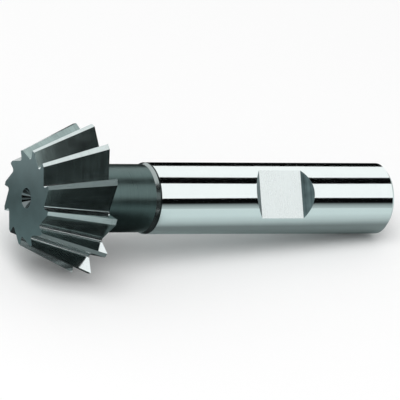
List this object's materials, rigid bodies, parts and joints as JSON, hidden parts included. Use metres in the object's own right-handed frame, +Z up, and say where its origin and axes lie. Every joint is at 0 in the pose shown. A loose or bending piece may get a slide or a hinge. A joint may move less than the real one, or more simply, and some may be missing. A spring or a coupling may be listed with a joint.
{
  "type": "angle milling cutter",
  "caption": "Single-angle milling cutter in one piece: straight-toothed cone, small end forward, on a neck and a plain cylindrical shank with a clamping flat.",
  "frame": {"origin": "under the middle of the tool's box, on the surface that it lies on", "axes": "+X level, from the small front face towards the shank end; +Z up; the clamping flat shows from -Y. The tool's own axis slopes down towards +X by 6.48 degrees, because it lies on two teeth and the edge of its shank end."},
  "size_m": [0.0686, 0.0248, 0.0247],
  "materials": {
    "tool_steel": "bright ground shank, flat and lands; dark satin head and neck"
  },
  "bodies": {
    "root": {"angle_cutter": "tool_steel"}
  },
  "joints": []
}
